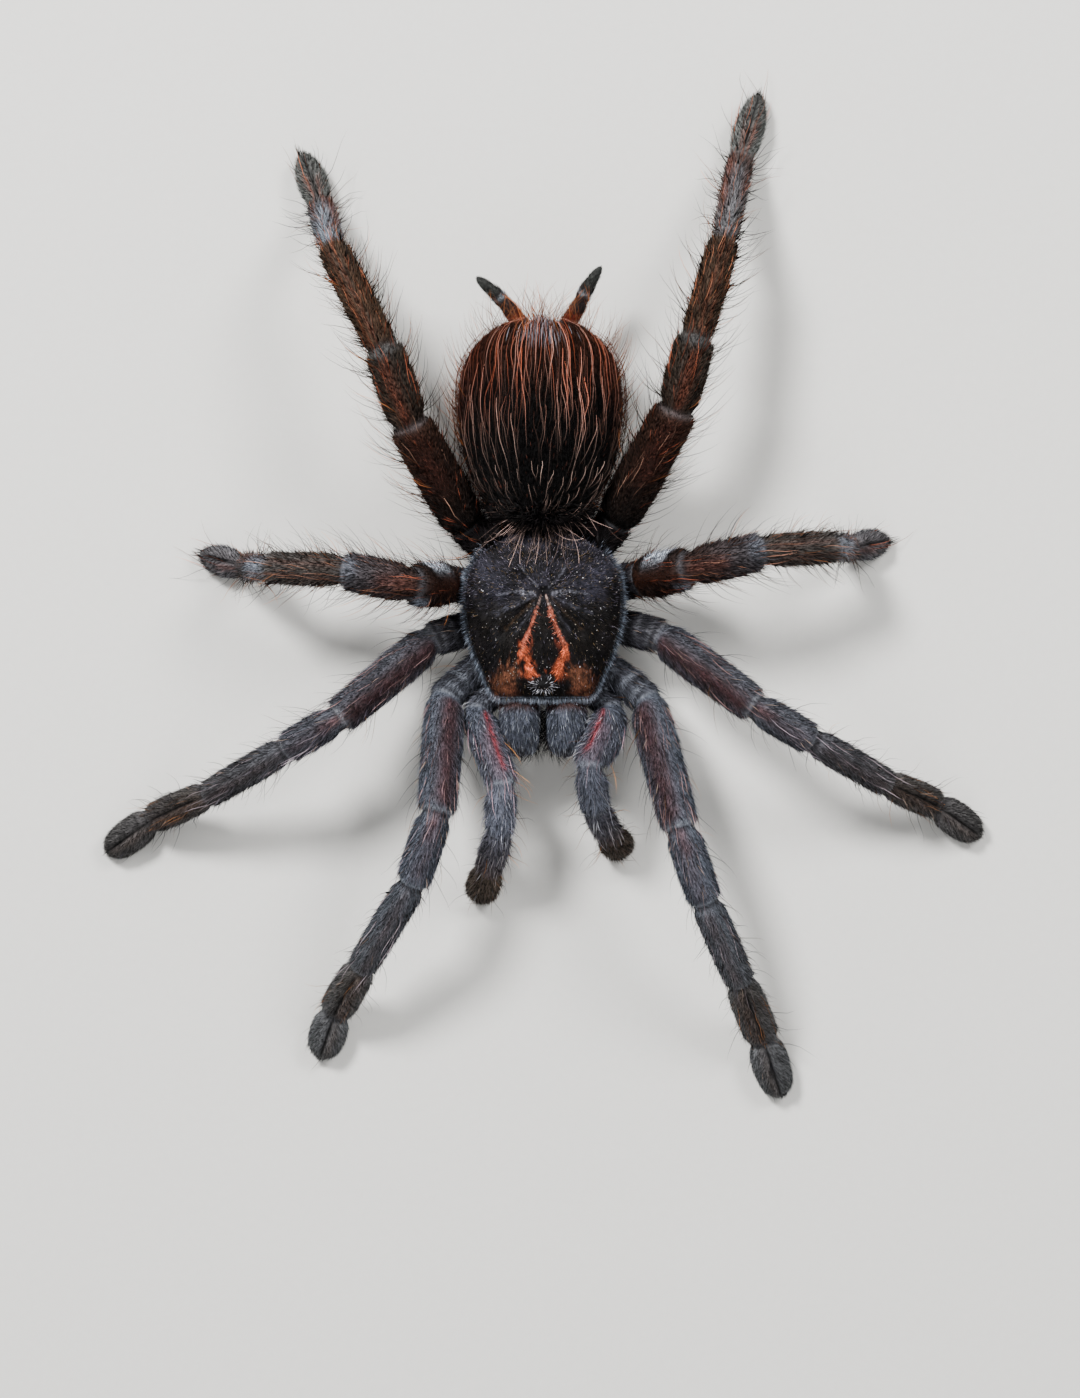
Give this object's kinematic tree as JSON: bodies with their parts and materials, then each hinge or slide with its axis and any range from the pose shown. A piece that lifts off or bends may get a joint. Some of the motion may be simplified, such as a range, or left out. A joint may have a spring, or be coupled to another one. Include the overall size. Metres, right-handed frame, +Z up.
{
  "type": "tarantula specimen",
  "caption": "Dried hairy tarantula with its legs spread, standing on its feet, with palps and jaws in front and long spinnerets behind.",
  "frame": {"origin": "on the ground, under the middle of the specimen's outline seen from above", "axes": "+Z up, -Y the way the head faces, +Y towards the spinnerets, +X the animal's own left"},
  "size_m": [0.1186, 0.1354, 0.0202],
  "materials": {
    "carapace": "satin",
    "underside": "matte",
    "front_limb": "matte",
    "rear_limb": "matte",
    "jaw": "matte",
    "fang": "gloss",
    "abdomen": "matte",
    "spinneret": "matte"
  },
  "bodies": {
    "root": {"carapace": "carapace", "sternum": "underside", "labium": "underside", "pedicel": "underside", "abdomen": "abdomen", "spinneret_left": "spinneret", "spinneret_right": "spinneret", "chelicera_left": "jaw", "fang_left": "fang", "chelicera_right": "jaw", "fang_right": "fang", "leg1_left_hip": "front_limb", "leg1_left_femur": "front_limb", "leg1_left_patella_tibia": "front_limb", "leg1_left_metatarsus": "front_limb", "leg1_left_tarsus": "front_limb", "leg1_right_hip": "front_limb", "leg1_right_femur": "front_limb", "leg1_right_patella_tibia": "front_limb", "leg1_right_metatarsus": "front_limb", "leg1_right_tarsus": "front_limb", "leg2_left_hip": "front_limb", "leg2_left_femur": "front_limb", "leg2_left_patella_tibia": "front_limb", "leg2_left_metatarsus": "front_limb", "leg2_left_tarsus": "front_limb", "leg2_right_hip": "front_limb", "leg2_right_femur": "front_limb", "leg2_right_patella_tibia": "front_limb", "leg2_right_metatarsus": "front_limb", "leg2_right_tarsus": "front_limb", "palp_left_hip": "front_limb", "palp_left_femur": "front_limb", "palp_left_patella_tibia": "front_limb", "palp_left_tarsus": "front_limb", "palp_right_hip": "front_limb", "palp_right_femur": "front_limb", "palp_right_patella_tibia": "front_limb", "palp_right_tarsus": "front_limb", "leg3_left_hip": "rear_limb", "leg3_left_femur": "rear_limb", "leg3_left_patella_tibia": "rear_limb", "leg3_left_metatarsus": "rear_limb", "leg3_left_tarsus": "rear_limb", "leg3_right_hip": "rear_limb", "leg3_right_femur": "rear_limb", "leg3_right_patella_tibia": "rear_limb", "leg3_right_metatarsus": "rear_limb", "leg3_right_tarsus": "rear_limb", "leg4_left_hip": "rear_limb", "leg4_left_femur": "rear_limb", "leg4_left_patella_tibia": "rear_limb", "leg4_left_metatarsus": "rear_limb", "leg4_left_tarsus": "rear_limb", "leg4_right_hip": "rear_limb", "leg4_right_femur": "rear_limb", "leg4_right_patella_tibia": "rear_limb", "leg4_right_metatarsus": "rear_limb", "leg4_right_tarsus": "rear_limb"}
  },
  "joints": []
}
